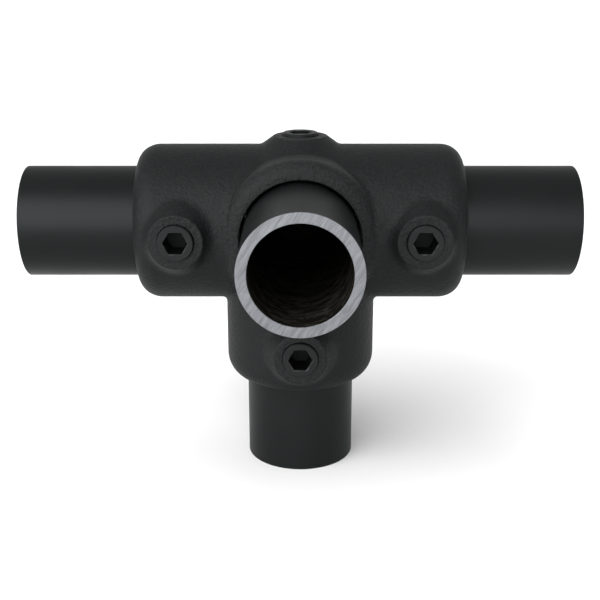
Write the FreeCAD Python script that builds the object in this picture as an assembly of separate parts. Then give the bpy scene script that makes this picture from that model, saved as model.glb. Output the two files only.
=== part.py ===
"""Three-socket cross clamp for 33.7 mm tube, shown with four short lengths of tube.

A malleable iron casting carries a sleeve that a tube passes right through, front to back,
and three blind sockets: to the left, to the right and below. In each, a set screw in a boss
clamps the tube. Millimetres, +Z up, +Y towards the back, origin where the axes of the
sleeves cross. Each piece is written to its own STEP file in parts/.
"""

import FreeCAD
import Part

import math
import os

V = FreeCAD.Vector
ORIGIN = V(0, 0, 0)
X_AXIS = V(1, 0, 0)
Y_AXIS = V(0, 1, 0)
Z_AXIS = V(0, 0, 1)

# Tubes: 33.7 x 2.9 steel tube with a coat on the outside
STEEL_DIAMETER = 33.7
STEEL_WALL = 2.9
COAT = 0.1
TUBE_RADIUS = STEEL_DIAMETER / 2 + COAT
TUBE_BORE_RADIUS = STEEL_DIAMETER / 2 - STEEL_WALL
TUBE_EDGE_BREAK = 0.1
SIDE_TUBE_LENGTH = 63.2
BOTTOM_TUBE_LENGTH = 57.1
THROUGH_TUBE_LENGTH = 118.0
TUBE_END_GAP = 0.5

# Casting
BORE_CLEARANCE = 0.9
BORE_RADIUS = TUBE_RADIUS + BORE_CLEARANCE
SLEEVE_RADIUS = 23.7
BOTTOM_SLEEVE_RADIUS = 23.3
SOCKET_REACH = 49.2
SOCKET_LIP_LENGTH = 6.6
COLLAR_RADIUS = 23.0
COLLAR_REACH = 25.0
COLLAR_LIP_LENGTH = 4.5
LIP_LAND = 0.5
MOUTH_BREAK = 0.2
STOP_DISTANCE = 20.0
STOP_WINDOW_RADIUS = 8.0
CREASE_RADIUS = 2.0

# Screw bosses
BOSS_HEIGHT = 26.6
BOSS_FACE_RADIUS = 8.0
BOSS_EDGE_RADIUS = 0.8
BOSS_FLANK_ANGLE = 60.0
TOP_BOSS_FLANK_ANGLE = 36.0
BOSS_ROOT_HEIGHT = 19.5
TOP_BOSS_ROOT_HEIGHT = 18.0
BOSS_BLEND_RADIUS = 4.0
TOP_BOSS_BLEND_RADIUS = 3.0
SOCKET_SCREW_DISTANCE = 35.9
SOCKET_SCREW_PLACES = [
    (-SOCKET_SCREW_DISTANCE, 0),
    (SOCKET_SCREW_DISTANCE, 0),
    (0, -SOCKET_SCREW_DISTANCE),
]

# Cup point set screws with a 1/4 inch hexagon socket, plain at the thread's pitch diameter
SCREW_RADIUS = 5.45
SCREW_HOLE_RADIUS = 5.5
SCREW_LENGTH = 10.2
SCREW_TIP_GAP = 0.4
SCREW_FACE_RADIUS = 5.25
SCREW_POINT_RADIUS = 4.2
SCREW_CUP_RADIUS = 3.2
SCREW_CUP_DEPTH = 1.0
HEX_ACROSS_FLATS = 6.35
HEX_DEPTH = 8.0
HEX_MOUTH_BREAK = 0.15

# Telling inside corners from outside ones, and the corners at a boss's foot from the others
PROBE = 0.05
PROBE_TOLERANCE = 1e-4
SHARP_ANGLE = 0.05
FOOT_RADIUS = 18.0
FOOT_DEPTH = 15.0


def turned(edges, axis=Z_AXIS):
    """Solid of revolution of a closed outline that touches its axis."""
    outline = Part.Wire(Part.__sortEdges__(edges))
    return Part.Face(outline).revolve(ORIGIN, axis, 360)


def closed_lines(points):
    """Straight edges through the points and back to the first."""
    return [Part.makeLine(a, b) for a, b in zip(points, points[1:] + points[:1])]


def rotated(shape, axis, degrees):
    copy = shape.copy()
    copy.rotate(ORIGIN, axis, degrees)
    return copy


def moved(shape, x, z):
    copy = shape.copy()
    copy.translate(V(x, 0, z))
    return copy


def facing_left(shape):
    return rotated(shape, Z_AXIS, 180)


def facing_down(shape):
    """Turn a shape that lies along +X to -Z."""
    return rotated(shape, Y_AXIS, 90)


def facing_front(shape):
    """Turn a shape that stands along +Z to -Y."""
    return rotated(shape, X_AXIS, 90)


def middle_of(edge):
    return edge.valueAt((edge.FirstParameter + edge.LastParameter) / 2)


def is_valley(shape, edge):
    """True where two faces of the shape meet at an inside corner along the edge."""
    faces = shape.ancestorsOfType(edge, Part.Face)
    if len(faces) != 2:
        return False
    point = middle_of(edge)
    first, second = (face.normalAt(*face.Surface.parameter(point)) for face in faces)
    if first.getAngle(second) < SHARP_ANGLE:
        return False
    step = (first - second) * PROBE
    return all(shape.isInside(point + side, PROBE_TOLERANCE, False) for side in (step, -step))


def valleys(shape):
    return [edge for edge in shape.Edges if is_valley(shape, edge)]


# Casting ---------------------------------------------------------------------------------


def sleeve_half(radius, reach, lip_length):
    """Half of a solid sleeve along +X; an elliptic lip rounds its end down to the bore."""
    mouth = BORE_RADIUS + LIP_LAND
    start = V(reach - lip_length, 0, radius)
    finish = V(reach, 0, mouth)
    longer, shorter = (finish, start) if lip_length > radius - mouth else (start, finish)
    ellipse = Part.Ellipse(longer, shorter, V(start.x, 0, mouth))
    ends = sorted([ellipse.parameter(start), ellipse.parameter(finish)])
    lip = Part.Arc(ellipse, *ends).toShape()
    lines = [
        Part.makeLine(V(0, 0, radius), start),
        Part.makeLine(finish, V(reach, 0, 0)),
        Part.makeLine(V(reach, 0, 0), ORIGIN),
        Part.makeLine(ORIGIN, V(0, 0, radius)),
    ]
    return turned(lines + [lip], X_AXIS)


def boss(flank_angle, root_height):
    """Screw boss along +Z: a cone with a flat face and a rounded rim."""
    slope = math.radians(flank_angle)
    half_turn = slope / 2
    rim = BOSS_EDGE_RADIUS * math.tan(half_turn)
    drop = BOSS_HEIGHT - root_height
    edge = V(BOSS_FACE_RADIUS, 0, BOSS_HEIGHT)
    down_flank = V(math.cos(slope), 0, -math.sin(slope))
    on_face = edge - V(rim, 0, 0)
    on_flank = edge + down_flank * rim
    foot = edge + down_flank * (drop / math.sin(slope))
    rim_centre = on_face - V(0, 0, BOSS_EDGE_RADIUS)
    on_rim = rim_centre + V(math.sin(half_turn), 0, math.cos(half_turn)) * BOSS_EDGE_RADIUS
    return turned([
        Part.makeLine(ORIGIN, V(0, 0, BOSS_HEIGHT)),
        Part.makeLine(V(0, 0, BOSS_HEIGHT), on_face),
        Part.Arc(on_face, on_rim, on_flank).toShape(),
        Part.makeLine(on_flank, foot),
        Part.makeLine(foot, V(foot.x, 0, 0)),
        Part.makeLine(V(foot.x, 0, 0), ORIGIN),
    ])


def bore_cutter(start, reach):
    """Bore along +X from start to the mouth at reach, with the mouth's edge broken."""
    return turned(closed_lines([
        V(start, 0, 0),
        V(start, 0, BORE_RADIUS),
        V(reach - MOUTH_BREAK, 0, BORE_RADIUS),
        V(reach, 0, BORE_RADIUS + MOUTH_BREAK),
        V(reach + 1, 0, BORE_RADIUS + MOUTH_BREAK),
        V(reach + 1, 0, 0),
    ]), X_AXIS)


def socket_cutter():
    """Blind socket along +X: the bore, its stop shoulder and the cored window behind it."""
    window = Part.makeCylinder(STOP_WINDOW_RADIUS, STOP_DISTANCE + 1, ORIGIN, X_AXIS)
    return bore_cutter(STOP_DISTANCE, SOCKET_REACH).fuse(window)


def with_boss(body, shape, blend_radius, x=0.0, z=0.0, axis=Z_AXIS):
    """The body with a boss on it, whose foot is blended into the sleeves."""
    joined = body.fuse(moved(shape, x, z)).Solids[0]
    centre = V(x, 0, z)

    def at_foot(edge):
        offset = middle_of(edge) - centre
        height = offset.dot(axis)
        return height > FOOT_DEPTH and (offset - axis * height).Length < FOOT_RADIUS

    foot = [edge for edge in valleys(joined) if at_foot(edge)]
    return joined.makeFillet(blend_radius, foot)


def cross_body():
    right = sleeve_half(SLEEVE_RADIUS, SOCKET_REACH, SOCKET_LIP_LENGTH)
    front = rotated(sleeve_half(COLLAR_RADIUS, COLLAR_REACH, COLLAR_LIP_LENGTH), Z_AXIS, -90)
    horizontal = right.fuse(facing_left(right)).removeSplitter()
    through = front.fuse(facing_left(front)).removeSplitter()
    down = facing_down(sleeve_half(BOTTOM_SLEEVE_RADIUS, SOCKET_REACH, SOCKET_LIP_LENGTH))
    body = horizontal.fuse([down, through]).Solids[0]
    body = body.makeFillet(CREASE_RADIUS, valleys(body))

    forward = facing_front(boss(BOSS_FLANK_ANGLE, BOSS_ROOT_HEIGHT))
    for x, z in SOCKET_SCREW_PLACES:
        body = with_boss(body, forward, BOSS_BLEND_RADIUS, x, z, -Y_AXIS)
    upward = boss(TOP_BOSS_FLANK_ANGLE, TOP_BOSS_ROOT_HEIGHT)
    body = with_boss(body, upward, TOP_BOSS_BLEND_RADIUS)

    socket = socket_cutter()
    through_bore = rotated(bore_cutter(0, COLLAR_REACH), Z_AXIS, -90)
    hole = Part.makeCylinder(SCREW_HOLE_RADIUS, BOSS_HEIGHT + 1)
    front_hole = facing_front(hole)
    return body.cut([
        socket,
        facing_left(socket),
        facing_down(socket),
        through_bore,
        facing_left(through_bore),
        hole,
        *(moved(front_hole, x, z) for x, z in SOCKET_SCREW_PLACES),
    ])


# Tubes -----------------------------------------------------------------------------------


def tube(start, length):
    """Tube along +X with the edges of both sawn ends broken."""
    outer = TUBE_RADIUS
    inner = TUBE_BORE_RADIUS
    end = start + length
    brk = TUBE_EDGE_BREAK
    return turned(closed_lines([
        V(start, 0, inner + brk),
        V(start, 0, outer - brk),
        V(start + brk, 0, outer),
        V(end - brk, 0, outer),
        V(end, 0, outer - brk),
        V(end, 0, inner + brk),
        V(end - brk, 0, inner),
        V(start + brk, 0, inner),
    ]), X_AXIS)


def tubes():
    start = STOP_DISTANCE + TUBE_END_GAP
    side = tube(start, SIDE_TUBE_LENGTH)
    through = tube(-THROUGH_TUBE_LENGTH / 2, THROUGH_TUBE_LENGTH)
    return {
        "left_tube": facing_left(side),
        "right_tube": side,
        "bottom_tube": facing_down(tube(start, BOTTOM_TUBE_LENGTH)),
        "through_tube": rotated(through, Z_AXIS, 90),
    }


# Set screws ------------------------------------------------------------------------------


def hexagon(across_flats, height):
    """Hexagonal wire about the Z axis with two corners along X."""
    corner = across_flats / math.sqrt(3)
    angles = [math.radians(60 * step) for step in range(6)]
    corners = [V(corner * math.cos(a), corner * math.sin(a), height) for a in angles]
    return Part.Wire(closed_lines(corners))


def hexagon_socket(face):
    """Cutter for a hexagon socket in a face at that height, its mouth edge broken."""
    floor = face - HEX_DEPTH
    prism = Part.Face(hexagon(HEX_ACROSS_FLATS, floor)).extrude(V(0, 0, HEX_DEPTH))
    wide = HEX_ACROSS_FLATS + 2 * HEX_MOUTH_BREAK
    mouth = [hexagon(HEX_ACROSS_FLATS, face - HEX_MOUTH_BREAK), hexagon(wide, face)]
    return prism.fuse(Part.makeLoft(mouth, True, True))


def set_screw():
    """Cup point set screw along +Z, its tip just clear of the tube that it clamps."""
    tip = TUBE_RADIUS + SCREW_TIP_GAP
    face = tip + SCREW_LENGTH
    blank = turned(closed_lines([
        V(0, 0, tip + SCREW_CUP_DEPTH),
        V(SCREW_CUP_RADIUS, 0, tip),
        V(SCREW_POINT_RADIUS, 0, tip),
        V(SCREW_RADIUS, 0, tip + SCREW_RADIUS - SCREW_POINT_RADIUS),
        V(SCREW_RADIUS, 0, face - SCREW_RADIUS + SCREW_FACE_RADIUS),
        V(SCREW_FACE_RADIUS, 0, face),
        V(0, 0, face),
    ]))
    return blank.cut(hexagon_socket(face))


def set_screws():
    upright = set_screw()
    forward = facing_front(upright)
    names = ["left_set_screw", "right_set_screw", "bottom_set_screw"]
    placed = [moved(forward, x, z) for x, z in SOCKET_SCREW_PLACES]
    return {"through_set_screw": upright, **dict(zip(names, placed))}


def main():
    os.makedirs("parts", exist_ok=True)
    pieces = {"cross_body": cross_body(), **tubes(), **set_screws()}
    for name, shape in pieces.items():
        solid = shape.Solids[0]
        solid.exportStep(f"parts/{name}.step")
        print(f"{name}: valid {solid.isValid()}, {len(shape.Solids)} solid, {solid.Volume:.0f} mm3")


main()
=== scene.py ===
# Looks for the tube clamp cross fitting: coatings, sawn steel, threaded screws and a studio.

import math

import bpy
from mathutils import Matrix, Vector


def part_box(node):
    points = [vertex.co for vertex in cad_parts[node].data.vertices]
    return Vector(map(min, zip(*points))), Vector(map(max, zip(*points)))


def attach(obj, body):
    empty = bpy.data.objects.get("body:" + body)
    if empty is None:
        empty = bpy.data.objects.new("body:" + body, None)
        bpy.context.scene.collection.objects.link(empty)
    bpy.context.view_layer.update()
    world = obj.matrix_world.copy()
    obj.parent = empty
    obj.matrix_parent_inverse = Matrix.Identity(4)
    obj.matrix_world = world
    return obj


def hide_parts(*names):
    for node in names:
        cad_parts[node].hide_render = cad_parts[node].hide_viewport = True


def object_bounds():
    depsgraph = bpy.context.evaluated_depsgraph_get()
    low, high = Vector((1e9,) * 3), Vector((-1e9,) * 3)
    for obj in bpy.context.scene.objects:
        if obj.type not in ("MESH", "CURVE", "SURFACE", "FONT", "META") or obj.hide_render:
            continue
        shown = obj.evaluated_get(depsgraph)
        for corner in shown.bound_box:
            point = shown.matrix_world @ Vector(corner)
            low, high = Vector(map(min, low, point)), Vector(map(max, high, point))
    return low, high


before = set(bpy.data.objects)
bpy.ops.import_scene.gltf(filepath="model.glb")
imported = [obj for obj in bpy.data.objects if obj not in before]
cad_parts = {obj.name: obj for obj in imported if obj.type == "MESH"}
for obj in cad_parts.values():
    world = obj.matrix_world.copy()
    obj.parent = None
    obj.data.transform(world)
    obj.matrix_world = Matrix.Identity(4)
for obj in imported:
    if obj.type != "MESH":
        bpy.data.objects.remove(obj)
CAD_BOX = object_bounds()

MM = 0.001
SCREWS = [name for name in sorted(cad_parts) if name.endswith("set_screw")]
TUBES = [name for name in sorted(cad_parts) if name.endswith("tube")]

# Where the cast surface is coarser, and where its colour is lifted as a painted reflection: the mouths of
# the through sleeve and the faces of the bosses
COLLAR_RADII = (26.0 * MM, 22.5 * MM)
COLLAR_STARTS = (17.5 * MM, 21.0 * MM)
BOSS_FACE_STARTS = (26.2 * MM, 26.5 * MM)

# Cool tint of what the black coats reflect
COOL_TINT = (0.93, 1.0, 1.0, 1)

# Tubes: the scratches' slant and stretch, and the share of the radius that is still bore
SAW_SLANT = math.radians(58)
SAW_STRETCH = 0.07
BORE_SHARE = 0.92

# Threaded screws, inside the plain cylinders of the CAD screws. CREST_END and ROOT_START are
# the ends of a flank, as shares of the pitch from the middle of the crest.
THREAD_PITCH = 1.75 * MM
THREAD_CREST = 5.28 * MM
THREAD_DEPTH = 0.65 * MM
CREST_END = 0.15
ROOT_START = 0.40
THREAD_TOP_GAP = 1.0 * MM
THREAD_RUN_OUT = 0.4 * MM
SCREW_SIDES = 96
ROWS_PER_PITCH = 14
FACE_RADIUS = 5.03 * MM
POINT_RADIUS = 4.1 * MM
CUP_RADIUS = 3.2 * MM
CUP_DEPTH = 1.0 * MM
HEX_ACROSS_FLATS = 6.35 * MM
HEX_MOUTH_FLATS = 6.75 * MM
HEX_DEPTH = 8.0 * MM
HEX_BREAK = 0.2 * MM
SMOOTH_BELOW = math.radians(28)

# Studio, with lengths in metres but the lens in millimetres
FLOOR_SIZE = 40.0
HORIZON_FILL = 1.6
OVERHEAD_FILL = 0.5
GLOW_HEIGHT = 0.18
FLOOR_TONE = 0.62
FLOOR_TONE_SEEN = 0.85
BACKDROP = 1.0
CAMERA_DISTANCE = 0.3255
CAMERA_SIDE = -0.0001
CAMERA_DROP = 0.0011
CAMERA_ELEVATION = math.radians(18.55)
LENS = 61.14


# Node helpers ----------------------------------------------------------------------------


class Material:
    """A node material with short calls for the nodes that the finishes below share."""

    def __init__(self, name):
        self.block = bpy.data.materials.new(name)
        self.block.use_nodes = True
        self.tree = self.block.node_tree
        self.shader = self.tree.nodes["Principled BSDF"]
        self.place = self.node("ShaderNodeTexCoord").outputs["Object"]

    def node(self, kind, **settings):
        made = self.tree.nodes.new(kind)
        for name, value in settings.items():
            setattr(made, name, value)
        return made

    def link(self, source, target):
        if isinstance(source, (int, float)):
            target.default_value = source
        else:
            self.tree.links.new(source, target)

    def set(self, **values):
        for name, value in values.items():
            self.shader.inputs[name.replace("_", " ")].default_value = value

    def math(self, operation, first, second=0.0):
        made = self.node("ShaderNodeMath", operation=operation)
        self.link(first, made.inputs[0])
        self.link(second, made.inputs[1])
        return made.outputs[0]

    def noise(self, size, detail=2.0, place=None, roughness=0.5, distortion=0.0):
        """Noise from 0 to 1 with features of about that size in metres."""
        made = self.node("ShaderNodeTexNoise")
        self.link(place or self.place, made.inputs["Vector"])
        made.inputs["Scale"].default_value = 1 / size
        made.inputs["Detail"].default_value = detail
        made.inputs["Roughness"].default_value = roughness
        made.inputs["Distortion"].default_value = distortion
        return made.outputs["Fac"]

    def ramp(self, value, low, high, start=0.0, end=1.0):
        """The value from low to high, spread from start to end and smoothed."""
        made = self.node("ShaderNodeMapRange", interpolation_type="SMOOTHSTEP")
        for socket, number in zip(made.inputs[1:5], (low, high, start, end)):
            socket.default_value = number
        self.link(value, made.inputs[0])
        return made.outputs[0]

    def mix(self, amount, first, second):
        """Colour from first to second."""
        made = self.node("ShaderNodeMix", data_type="RGBA")
        self.link(amount, made.inputs[0])
        for socket, colour in ((made.inputs[6], first), (made.inputs[7], second)):
            if isinstance(colour, tuple):
                socket.default_value = (*colour, 1)
            else:
                self.link(colour, socket)
        return made.outputs[2]

    def bump(self, height, depth, after=None):
        """Surface normal of a height from 0 to 1 that stands for that depth in metres."""
        made = self.node("ShaderNodeBump")
        made.inputs["Strength"].default_value = 1.0
        made.inputs["Distance"].default_value = depth
        self.link(height, made.inputs["Height"])
        if after is not None:
            self.link(after, made.inputs["Normal"])
        return made.outputs["Normal"]

    def axes(self):
        made = self.node("ShaderNodeSeparateXYZ")
        self.link(self.place, made.inputs[0])
        return made.outputs

    def vector(self, x, y, z):
        made = self.node("ShaderNodeCombineXYZ")
        for value, socket in zip((x, y, z), made.inputs):
            self.link(value, socket)
        return made.outputs[0]

    def finish(self, colour=None, roughness=None, normal=None):
        for value, name in ((colour, "Base Color"), (roughness, "Roughness"), (normal, "Normal")):
            if value is not None:
                self.link(value, self.shader.inputs[name])
        return self.block


# Materials -------------------------------------------------------------------------------


def casting_material():
    """Black powder coat on a cast surface, coarser on the collars and the boss faces, where a lighter
    colour is painted reflection of the front light.
    """
    m = Material("black_casting")
    x, y, z = m.axes()
    m.set(IOR=1.5, Specular_IOR_Level=0.21, Specular_Tint=COOL_TINT)
    m.set(Sheen_Weight=0.025, Sheen_Roughness=0.3)
    from_middle = m.math("ABSOLUTE", y)
    off_axis = m.math("SQRT", m.math("ADD", m.math("MULTIPLY", x, x), m.math("MULTIPLY", z, z)))
    near_collar = m.ramp(off_axis, *COLLAR_RADII)
    collar = m.math("MULTIPLY", m.ramp(from_middle, *COLLAR_STARTS), near_collar)
    front_faces = m.ramp(m.math("MULTIPLY", y, -1.0), *BOSS_FACE_STARTS)
    boss_faces = m.math("MAXIMUM", front_faces, m.ramp(z, *BOSS_FACE_STARTS))
    coarse_and_painted_reflection = m.math("MAXIMUM", collar, boss_faces)
    grain = m.noise(0.8 * MM, 2.0, roughness=0.6)
    pits = m.noise(1.3 * MM, 3.0, roughness=0.6, distortion=0.3)
    waves = m.noise(6 * MM, 1.0)
    patches = m.noise(9 * MM, 3.0)
    colour = m.mix(patches, (0.0030, 0.0034, 0.0036), (0.0048, 0.0052, 0.0054))
    # Painted reflection: the collars and boss faces get a lighter colour that stands for the front light
    # reflected in them.
    colour = m.mix(coarse_and_painted_reflection, colour, (0.0056, 0.0060, 0.0062))
    fleck_strength = m.math("ADD", 0.3, m.math("MULTIPLY", coarse_and_painted_reflection, 0.5))
    flecks = m.math("MULTIPLY", m.ramp(grain, 0.40, 0.66), fleck_strength)
    colour = m.mix(flecks, colour, (0.0135, 0.0140, 0.0143))
    rough = m.math("ADD", m.ramp(grain, 0.3, 0.7, 0.50, 0.60), m.math("MULTIPLY", coarse_and_painted_reflection, 0.06))
    normal = m.bump(waves, 0.16 * MM)
    normal = m.bump(grain, 0.25 * MM, normal)
    normal = m.bump(m.math("MULTIPLY", pits, m.math("ADD", 0.2, coarse_and_painted_reflection)), 0.32 * MM, normal)
    return m.finish(colour, rough, normal)


def coat_material():
    """Smooth satin black coat of the tubes."""
    m = Material("black_tube_coat")
    m.set(IOR=1.5, Specular_IOR_Level=0.20, Specular_Tint=COOL_TINT)
    cloud = m.noise(14 * MM, 3.0)
    fine = m.noise(0.35 * MM, 2.0)
    colour = m.mix(cloud, (0.0030, 0.0034, 0.0036), (0.0044, 0.0048, 0.0050))
    rough = m.ramp(cloud, 0.3, 0.7, 0.37, 0.42)
    normal = m.bump(m.noise(5 * MM, 1.0), 0.015 * MM)
    normal = m.bump(fine, 0.006 * MM, normal)
    return m.finish(colour, rough, normal)


def sawn_material(axis):
    """Bare steel of an end sawn across that axis, with the saw's slanting scratches."""
    m = Material("sawn_steel_" + "xyz"[axis])
    m.set(Metallic=1.0, IOR=2.5)
    turn = m.node("ShaderNodeVectorRotate", rotation_type="XYZ"[axis] + "_AXIS")
    m.link(m.place, turn.inputs["Vector"])
    turn.inputs["Angle"].default_value = SAW_SLANT
    stretch = m.node("ShaderNodeVectorMath", operation="MULTIPLY")
    m.link(turn.outputs[0], stretch.inputs[0])
    stretch.inputs[1].default_value = (1.0, SAW_STRETCH, 1.0) if axis == 0 else (SAW_STRETCH, 1.0, 1.0)
    scratches = m.noise(0.26 * MM, 3.0, place=stretch.outputs[0], roughness=0.7)
    bands = m.noise(1.0 * MM, 2.0, place=stretch.outputs[0])
    tone = m.math("ADD", m.math("MULTIPLY", scratches, 0.6), m.math("MULTIPLY", bands, 0.4))
    colour = m.mix(m.ramp(tone, 0.35, 0.65), (0.165, 0.172, 0.184), (0.290, 0.299, 0.317))
    rough = m.ramp(scratches, 0.3, 0.7, 0.34, 0.48)
    normal = m.bump(scratches, 0.03 * MM)
    return m.finish(colour, rough, normal)


def raw_bore_material(axis):
    """Uncoated inside of a tube: dark brown scale in bands that run round the bore, dimmed towards the
    bore's middle as painted shade.
    """
    m = Material("raw_bore_" + "xyz"[axis])
    along = m.axes()[axis]
    others = [m.axes()[i] for i in range(3) if i != axis]
    m.set(IOR=1.45, Specular_IOR_Level=0.0)
    wobble = m.math("MULTIPLY", m.noise(9 * MM, 2.0), 6 * MM)
    slid = m.math("ADD", along, wobble)
    place = m.vector(slid, m.math("MULTIPLY", others[0], 0.3), m.math("MULTIPLY", others[1], 0.3))
    bands = m.noise(1.6 * MM, 4.0, place=place, roughness=0.66, distortion=0.5)
    # Painted shade: the lighter scale is dimmed to half deeper inside, so the bore darkens away from its
    # sawn ends.
    painted_depth_shade = m.ramp(m.math("ABSOLUTE", along), 15 * MM, 58 * MM, 0.5, 1.0)
    scale = m.math("MULTIPLY", m.ramp(bands, 0.43, 0.64), painted_depth_shade)
    colour = m.mix(scale, (0.0055, 0.0052, 0.0045), (0.0225, 0.021, 0.0178))
    rough = m.ramp(bands, 0.3, 0.7, 0.85, 0.6)
    normal = m.bump(bands, 0.35 * MM)
    return m.finish(colour, rough, normal)


def screw_material():
    """Matt black coated steel."""
    m = Material("black_screw")
    m.set(IOR=1.5, Specular_IOR_Level=0.24, Specular_Tint=COOL_TINT)
    fine = m.noise(0.4 * MM, 3.0)
    colour = m.mix(m.noise(3 * MM, 2.0), (0.0046, 0.0050, 0.0052), (0.0064, 0.0068, 0.0070))
    return m.finish(colour, m.ramp(fine, 0.3, 0.7, 0.40, 0.50), m.bump(fine, 0.012 * MM))


def socket_shade_material():
    """Walls and floor of a screw's hexagon, coloured darker than the screw as painted shade down in the
    socket.
    """
    m = Material("painted_socket_shade")
    m.set(IOR=1.5, Specular_IOR_Level=0.16, Specular_Tint=COOL_TINT)
    fine = m.noise(0.5 * MM, 3.0)
    colour = m.mix(m.noise(2 * MM, 2.0), (0.0016, 0.0018, 0.0019), (0.0028, 0.0030, 0.0031))
    return m.finish(colour, m.ramp(fine, 0.3, 0.7, 0.45, 0.60), m.bump(fine, 0.010 * MM))


def worn_edge_and_highlight_material():
    """Edge of a screw's hexagon, rubbed half bare by the key and made lighter as a painted highlight where
    the chamfer catches the light.
    """
    m = Material("worn_and_highlit_hexagon_edge")
    m.set(IOR=1.5, Metallic=0.4)
    fine = m.noise(0.4 * MM, 3.0)
    colour = m.mix(m.ramp(m.noise(1.5 * MM, 2.0), 0.35, 0.65), (0.012, 0.012, 0.012), (0.060, 0.062, 0.064))
    return m.finish(colour, m.ramp(fine, 0.3, 0.7, 0.35, 0.50), m.bump(fine, 0.010 * MM))


# CAD nodes -------------------------------------------------------------------------------


def coat_casting():
    """One material for the whole casting."""
    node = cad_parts["cross_body"]
    node.data.materials.clear()
    node.data.materials.append(casting_material())


def coat_tube(name, coat):
    """Coat outside, bare steel on the sawn ends and scale inside, told apart face by face."""
    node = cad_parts[name]
    low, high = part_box(name)
    size = high - low
    axis = max(range(3), key=lambda i: size[i])
    centre = (low + high) / 2
    outer = min(size) / 2
    mesh = node.data
    mesh.materials.clear()
    for material in (coat, sawn_material(axis), raw_bore_material(axis)):
        mesh.materials.append(material)
    for face in mesh.polygons:
        offset = face.center - centre
        offset[axis] = 0
        if abs(face.normal[axis]) > 0.5:
            face.material_index = 1
        elif offset.length < BORE_SHARE * outer:
            face.material_index = 2
        else:
            face.material_index = 0


# Screws ----------------------------------------------------------------------------------


def thread_radius(height, turn, length):
    """Radius of the thread at a height above the tip, where turn is the angle in turns."""
    phase = (height / THREAD_PITCH - turn) % 1.0
    flank = (ROOT_START - abs(phase - 0.5)) / (ROOT_START - CREST_END)
    top = 1.0 - (length - height - THREAD_TOP_GAP) / THREAD_RUN_OUT
    ridge = min(max(flank, top, 0.0), 1.0)
    radius = THREAD_CREST - THREAD_DEPTH * (1 - ridge)
    top_limit = FACE_RADIUS + (length - height)
    tip_limit = POINT_RADIUS + height
    return min(radius, top_limit, tip_limit)


def round_point(radius, side, height):
    """Point at that radius and height, at a side number out of SCREW_SIDES."""
    angle = 2 * math.pi * side / SCREW_SIDES
    return radius * math.cos(angle), radius * math.sin(angle), height


def hexagon_point(flats, side, height):
    """The same on the outline of a hexagon with its corners along X."""
    sixth = math.pi / 3
    from_middle = (2 * math.pi * side / SCREW_SIDES) % sixth - sixth / 2
    return round_point(flats / 2 / math.cos(from_middle), side, height)


def screw_rings(length):
    """The screw's rings of points from the edge of the cup, up the thread and down the socket."""
    sides = range(SCREW_SIDES)
    rings = [[round_point(CUP_RADIUS, side, 0.0) for side in sides]]
    rows = round(length / THREAD_PITCH * ROWS_PER_PITCH)
    for row in range(rows + 1):
        height = length * row / rows
        radii = [thread_radius(height, side / SCREW_SIDES, length) for side in sides]
        rings.append([round_point(radius, side, height) for side, radius in enumerate(radii)])
    mouth = (HEX_MOUTH_FLATS, length)
    edge = (HEX_ACROSS_FLATS, length - HEX_BREAK)
    bottom = (HEX_ACROSS_FLATS, length - HEX_DEPTH)
    for flats, height in (mouth, edge, bottom):
        rings.append([hexagon_point(flats, side, height) for side in sides])
    return rings


def screw_mesh(name, length, materials):
    """Mesh of a screw that stands on its point, in its three materials: coat, painted socket shade, and
    worn edge with painted highlight.
    """
    rings = screw_rings(length)
    points = [(0, 0, CUP_DEPTH)]
    for ring in rings:
        points.extend(ring)
    points.append((0, 0, length - HEX_DEPTH))
    starts = [1 + number * SCREW_SIDES for number in range(len(rings))]
    faces = []
    for side in range(SCREW_SIDES):
        after = (side + 1) % SCREW_SIDES
        faces.append((0, starts[0] + after, starts[0] + side))
        for below, above in zip(starts, starts[1:]):
            faces.append((below + side, below + after, above + after, above + side))
        faces.append((len(points) - 1, starts[-1] + side, starts[-1] + after))
    mesh = bpy.data.meshes.new(name)
    mesh.from_pydata(points, [], faces)
    for material in materials:
        mesh.materials.append(material)
    # Each side has a strip of faces that ends with the worn edge, the socket's wall and its floor; the edge
    # is worn and painted highlight, the wall and floor painted shade
    strip = len(rings) + 1
    for face in mesh.polygons:
        from_floor = strip - 1 - face.index % strip
        if from_floor < 2:
            face.material_index = 1
        elif from_floor == 2:
            face.material_index = 2
    return mesh


def make_screw(name, materials):
    """A threaded set screw in the place of a CAD screw, and of the same length."""
    low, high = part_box(name)
    size = high - low
    axis = min(range(3), key=lambda i: size[i])
    mesh = screw_mesh(name, size[axis], materials)
    middle = (low + high) / 2
    if axis == 2:
        place = Matrix.Translation((middle.x, middle.y, low.z))
    else:
        place = Matrix.Translation((middle.x, high.y, middle.z)) @ Matrix.Rotation(math.pi / 2, 4, "X")
    mesh.transform(place)
    mesh.shade_smooth()
    mesh.set_sharp_from_angle(angle=SMOOTH_BELOW)
    piece = bpy.data.objects.new(name + "_threaded", mesh)
    bpy.context.scene.collection.objects.link(piece)
    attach(piece, name)
    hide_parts(name)


# Studio ----------------------------------------------------------------------------------


def make_floor():
    """Plain pale floor, which looks paler than the light that it throws back."""
    half = FLOOR_SIZE / 2
    height = CAD_BOX[0].z
    corners = [(x * half, y * half, height) for x, y in ((-1, -1), (1, -1), (1, 1), (-1, 1))]
    mesh = bpy.data.meshes.new("floor")
    mesh.from_pydata(corners, [], [(0, 1, 2, 3)])
    floor = bpy.data.objects.new("floor", mesh)
    bpy.context.scene.collection.objects.link(floor)
    m = Material("pale_floor")
    m.set(Roughness=0.9)
    seen = m.node("ShaderNodeLightPath").outputs["Is Camera Ray"]
    m.finish(m.mix(seen, (FLOOR_TONE,) * 3, (FLOOR_TONE_SEEN,) * 3))
    mesh.materials.append(m.block)


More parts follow.
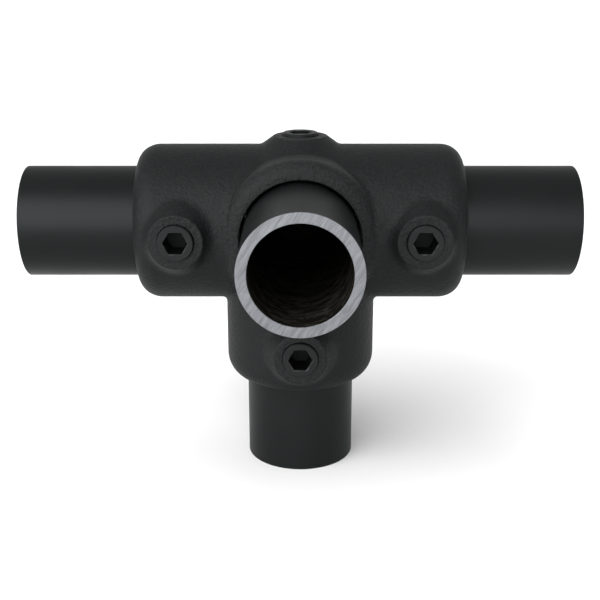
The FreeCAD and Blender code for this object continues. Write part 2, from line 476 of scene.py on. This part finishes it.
def make_camera():
    """Camera in front of the object and above it."""
    low, high = CAD_BOX
    target = Vector((CAMERA_SIDE, 0, (low.z + high.z) / 2 - CAMERA_DROP))
    back = Vector((0, -math.cos(CAMERA_ELEVATION), math.sin(CAMERA_ELEVATION)))
    camera = bpy.data.objects.new("camera", bpy.data.cameras.new("camera"))
    camera.data.lens = LENS
    camera.data.clip_start = 0.01
    camera.location = target + back * CAMERA_DISTANCE
    camera.rotation_euler = (math.pi / 2 - CAMERA_ELEVATION, 0, 0)
    bpy.context.scene.collection.objects.link(camera)
    bpy.context.scene.camera = camera


def soft_sun(name, azimuth, elevation, spread, strength, mirrored=True):
    """Broad distant light; azimuth 0 is in front of the object and 90 to its left."""
    light = bpy.data.lights.new(name, "SUN")
    light.angle = math.radians(spread)
    light.energy = strength
    lamp = bpy.data.objects.new(name, light)
    around = math.radians(azimuth)
    up = math.radians(elevation)
    towards = Vector((-math.sin(around) * math.cos(up), -math.cos(around) * math.cos(up), math.sin(up)))
    lamp.rotation_euler = towards.to_track_quat("Z", "Y").to_euler()
    lamp.visible_glossy = mirrored
    bpy.context.scene.collection.objects.link(lamp)


def make_lights():
    """Fill from all round, stronger near the horizon, and two broad lights from the front left."""
    world = bpy.data.worlds.new("studio")
    bpy.context.scene.world = world
    world.use_nodes = True
    tree = world.node_tree
    background = tree.nodes["Background"]
    direction = tree.nodes.new("ShaderNodeSeparateXYZ")
    tree.links.new(tree.nodes.new("ShaderNodeTexCoord").outputs["Generated"], direction.inputs[0])
    fill = tree.nodes.new("ShaderNodeMapRange")
    fill.interpolation_type = "SMOOTHSTEP"
    for socket, number in zip(fill.inputs[1:5], (0.0, GLOW_HEIGHT, HORIZON_FILL, OVERHEAD_FILL)):
        socket.default_value = number
    tree.links.new(direction.outputs["Z"], fill.inputs[0])
    path = tree.nodes.new("ShaderNodeLightPath")
    strength = tree.nodes.new("ShaderNodeMix")
    tree.links.new(fill.outputs[0], strength.inputs["A"])
    strength.inputs["B"].default_value = BACKDROP
    tree.links.new(path.outputs["Is Camera Ray"], strength.inputs["Factor"])
    tree.links.new(strength.outputs[0], background.inputs["Strength"])
    background.inputs["Color"].default_value = (1, 1, 1, 1)
    soft_sun("front", 31, 14, 86, 5.05)
    soft_sun("side", 52, 70, 75, 2.1, mirrored=False)


def main():
    """Finishes for the CAD nodes, then the screws and the studio."""
    bpy.context.scene.view_settings.view_transform = "Standard"
    coat_casting()
    coat = coat_material()
    for name in TUBES:
        coat_tube(name, coat)
    screw_coat_shade_and_edge = (screw_material(), socket_shade_material(), worn_edge_and_highlight_material())
    for name in SCREWS:
        make_screw(name, screw_coat_shade_and_edge)
    make_floor()
    make_camera()
    make_lights()


main()
